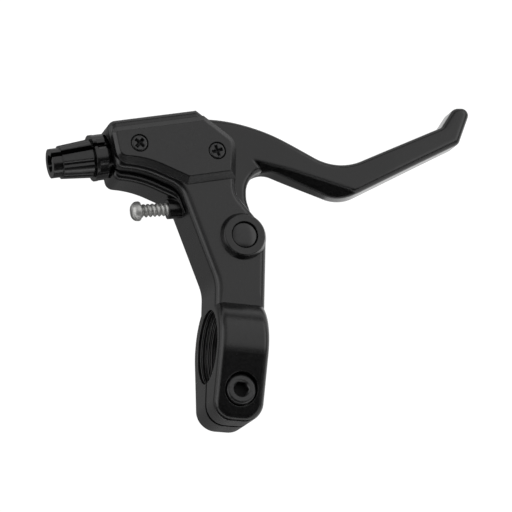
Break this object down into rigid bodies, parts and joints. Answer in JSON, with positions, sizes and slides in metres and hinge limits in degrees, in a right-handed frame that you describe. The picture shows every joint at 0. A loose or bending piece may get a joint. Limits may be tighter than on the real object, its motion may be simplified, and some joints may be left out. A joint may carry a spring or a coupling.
{
  "type": "bicycle brake lever",
  "caption": "Flat-bar brake lever: cast bracket with split handlebar clamp, S-curved blade on a sprung pivot, slit cable adjuster with lock ring, and reach screw.",
  "frame": {"origin": "centre of the handlebar clamp's bore", "axes": "+X along the handlebar towards the blade's tip, +Y away from the rider, +Z out of the bracket's front"},
  "size_m": [0.1325, 0.1063, 0.0296],
  "materials": {
    "black_casting": "satin",
    "black_cover": "satin",
    "black_blade": "satin",
    "black_screw": "satin",
    "black_pin": "gloss",
    "black_barrel": "satin",
    "zinc_screw": "satin",
    "bush_nylon": "matte",
    "spring_steel": "satin"
  },
  "bodies": {
    "bracket": {"bracket": "black_casting", "cover": "black_cover", "cover_screws": "black_screw", "pivot_pin": "black_pin", "pivot_screw": "black_screw", "clamp_bolt": "black_screw", "return_spring": "spring_steel"},
    "lever": {"lever": "black_blade", "upper_bush": "bush_nylon", "lower_bush": "bush_nylon"},
    "barrel_adjuster": {"barrel_adjuster": "black_barrel"},
    "lock_ring": {"lock_ring": "black_barrel"},
    "reach_screw": {"reach_screw": "zinc_screw"}
  },
  "joints": [
    {"name": "lever_pivot", "type": "hinge", "parent": "bracket", "child": "lever", "pos_m": [0, 0.0325, 0], "axis": [0, 0, -1], "range_deg": [0, 24], "stiffness_Nm_per_rad": 0.2, "springref_deg": -28.65, "deforming": ["return_spring"]},
    {"name": "adjuster_turn", "type": "hinge", "parent": "bracket", "child": "barrel_adjuster", "pos_m": [-0.04659, 0.05402, 0], "axis": [-0.9703, -0.2419, 0], "continuous": true},
    {"name": "lock_ring_turn", "type": "hinge", "parent": "barrel_adjuster", "child": "lock_ring", "pos_m": [-0.04334, 0.05483, 0], "axis": [-0.9703, -0.2419, 0], "continuous": true},
    {"name": "reach_screw_turn", "type": "hinge", "parent": "bracket", "child": "reach_screw", "pos_m": [-0.01689, 0.04191, 0], "axis": [0.9848, 0.1736, 0], "continuous": true}
  ]
}
